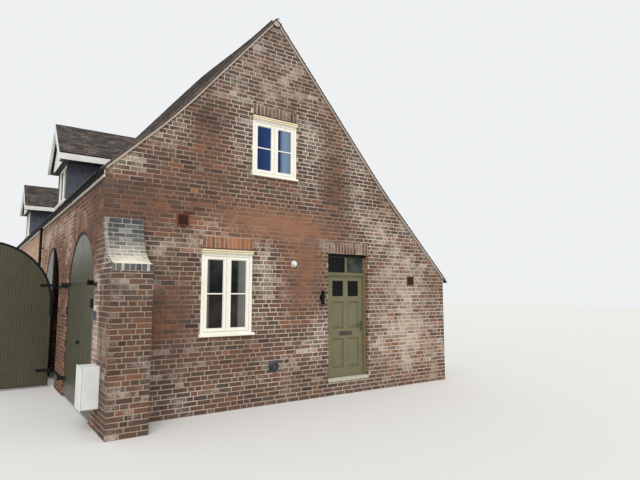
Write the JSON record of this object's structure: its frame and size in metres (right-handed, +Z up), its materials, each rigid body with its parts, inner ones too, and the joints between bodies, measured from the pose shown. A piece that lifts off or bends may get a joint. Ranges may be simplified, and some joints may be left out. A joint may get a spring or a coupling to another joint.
{
  "type": "brick coach house",
  "caption": "Brick coach house range with a steep tiled roof, arched gateways with boarded gates, gabled dormers, a corner buttress and a panelled front door.",
  "frame": {"origin": "foot of the left front corner of the house, at the lowest ground", "axes": "+X along the gable to the right, +Y back along the left side wall, +Z up"},
  "size_m": [9.057, 16.3, 7.4957],
  "materials": {
    "brick": "weathered brown-red brick in lime mortar",
    "orange_brick": "soft orange-red brick in lime mortar",
    "blue_brick": "hard blue brick",
    "tile": "weathered plain clay tile",
    "mortar": "pale lime mortar and concrete",
    "cream_paint": "cream painted joinery",
    "white_paint": "white painted boards",
    "olive_paint": "olive painted joinery",
    "gate_paint": "dark olive painted boards",
    "slate": "dark slate hanging",
    "iron": "black painted ironwork",
    "glass": "clear window glass",
    "box_white": "white moulded plastic",
    "boards": "bare floor boards",
    "terracotta": "terracotta"
  },
  "bodies": {
    "house": {"front_wall_left": "brick", "front_wall_right": "brick", "front_gable": "brick", "soldier_courses": "orange_brick", "buttress": "brick", "buttress_weathering": "blue_brick", "side_wall_piers": "brick", "side_wall_arcade": "brick", "arch_rings": "orange_brick", "side_wall_back": "orange_brick", "right_wall": "brick", "party_wall": "brick", "ground_floor": "mortar", "upper_floor": "boards", "roof_left": "tile", "roof_right": "tile", "ridge_tiles": "tile", "verge_tiles": "tile", "verge_mortar": "mortar", "dormer_roofs": "tile", "dormer_cheeks": "slate", "dormer_boards": "white_paint", "dormer_windows": "cream_paint", "low_window": "cream_paint", "high_window": "cream_paint", "window_glass": "glass", "door_sill": "mortar", "door_frame": "olive_paint", "hinge_pins": "iron", "eaves_boards": "cream_paint", "rainwater_goods": "iron", "meter_box": "box_white", "wall_lamp": "iron", "air_bricks": "terracotta", "wall_fittings": "box_white"},
    "front_door_leaf": {"front_door": "olive_paint", "door_glass": "glass", "door_furniture": "iron"},
    "gate_one_near_leaf": {"gate_one_near": "gate_paint", "frame_one_near": "iron"},
    "gate_one_far_leaf": {"gate_one_far": "gate_paint", "frame_one_far": "iron"},
    "gate_two_near_leaf": {"gate_two_near": "gate_paint", "frame_two_near": "iron"},
    "gate_two_far_leaf": {"gate_two_far": "gate_paint", "frame_two_far": "iron"}
  },
  "joints": [
    {"name": "front_door_hinge", "type": "hinge", "parent": "house", "child": "front_door_leaf", "pos_m": [4.2715, 0.1583, 0], "axis": [0, 0, 1], "range_deg": [0, 90]},
    {"name": "gate_one_near_hinge", "type": "hinge", "parent": "house", "child": "gate_one_near_leaf", "pos_m": [-0.095, 0.4, 0], "axis": [0, 0, 1], "range_deg": [0, 90]},
    {"name": "gate_one_far_hinge", "type": "hinge", "parent": "house", "child": "gate_one_far_leaf", "pos_m": [-0.095, 2.97, 0], "axis": [0, 0, -1], "range_deg": [0, 90]},
    {"name": "gate_two_near_hinge", "type": "hinge", "parent": "house", "child": "gate_two_near_leaf", "pos_m": [-0.095, 4.1, 0], "axis": [0, 0, -1], "range_deg": [0, 90]},
    {"name": "gate_two_far_hinge", "type": "hinge", "parent": "house", "child": "gate_two_far_leaf", "pos_m": [-0.095, 6.67, 0], "axis": [0, 0, -1], "range_deg": [0, 90]}
  ]
}
